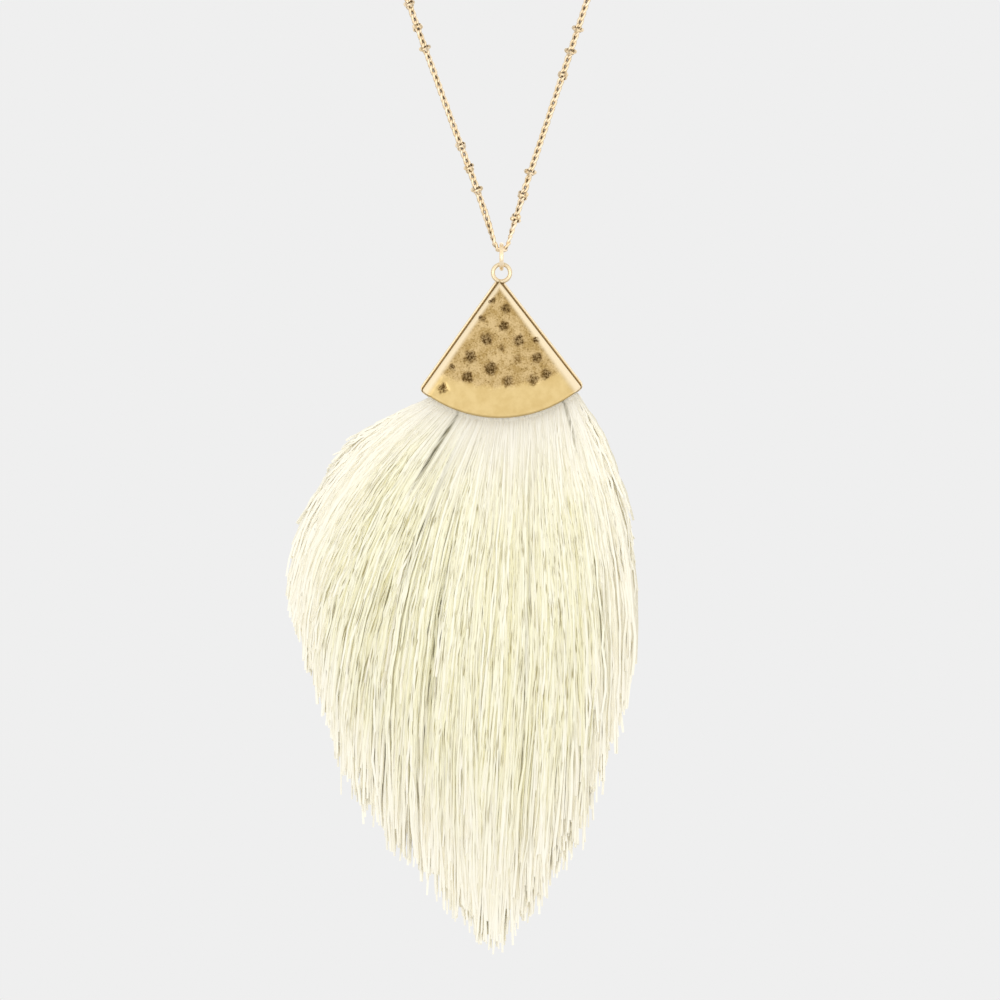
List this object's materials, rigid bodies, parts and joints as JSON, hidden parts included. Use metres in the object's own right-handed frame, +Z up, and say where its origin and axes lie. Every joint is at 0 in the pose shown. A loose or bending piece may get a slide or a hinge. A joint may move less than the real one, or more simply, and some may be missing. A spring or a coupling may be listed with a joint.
{
  "type": "tassel necklace",
  "caption": "Long fine-chain necklace with granulated knots, a hammered fan-shaped cap on a jump ring, and a pointed silky thread tassel.",
  "frame": {"origin": "middle of the clasp, where the chain rests on the nape", "axes": "+Z up, the wearer faces -Y, +X to the right of a viewer in front"},
  "size_m": [0.1246, 0.1174, 0.4551],
  "materials": {
    "chain_metal": "polished gold-tone plating",
    "cap_metal": "antiqued gold-tone plating, polished edges, dark hammer dents",
    "threads": "silky cream threads"
  },
  "bodies": {
    "root": {"chain": "chain_metal", "chain_knots": "chain_metal", "clasp": "chain_metal"},
    "ring": {"jump_ring": "chain_metal"},
    "pendant": {"cap": "cap_metal", "tassel": "threads"}
  },
  "joints": [
    {"name": "ring_swing", "type": "hinge", "parent": "root", "child": "ring", "pos_m": [0, -0.108, -0.3], "axis": [1, 0, 0], "range_deg": [-60, 60]},
    {"name": "pendant_swing", "type": "hinge", "parent": "ring", "child": "pendant", "pos_m": [0, -0.108, -0.30407], "axis": [0, 1, 0], "range_deg": [-60, 60]}
  ]
}
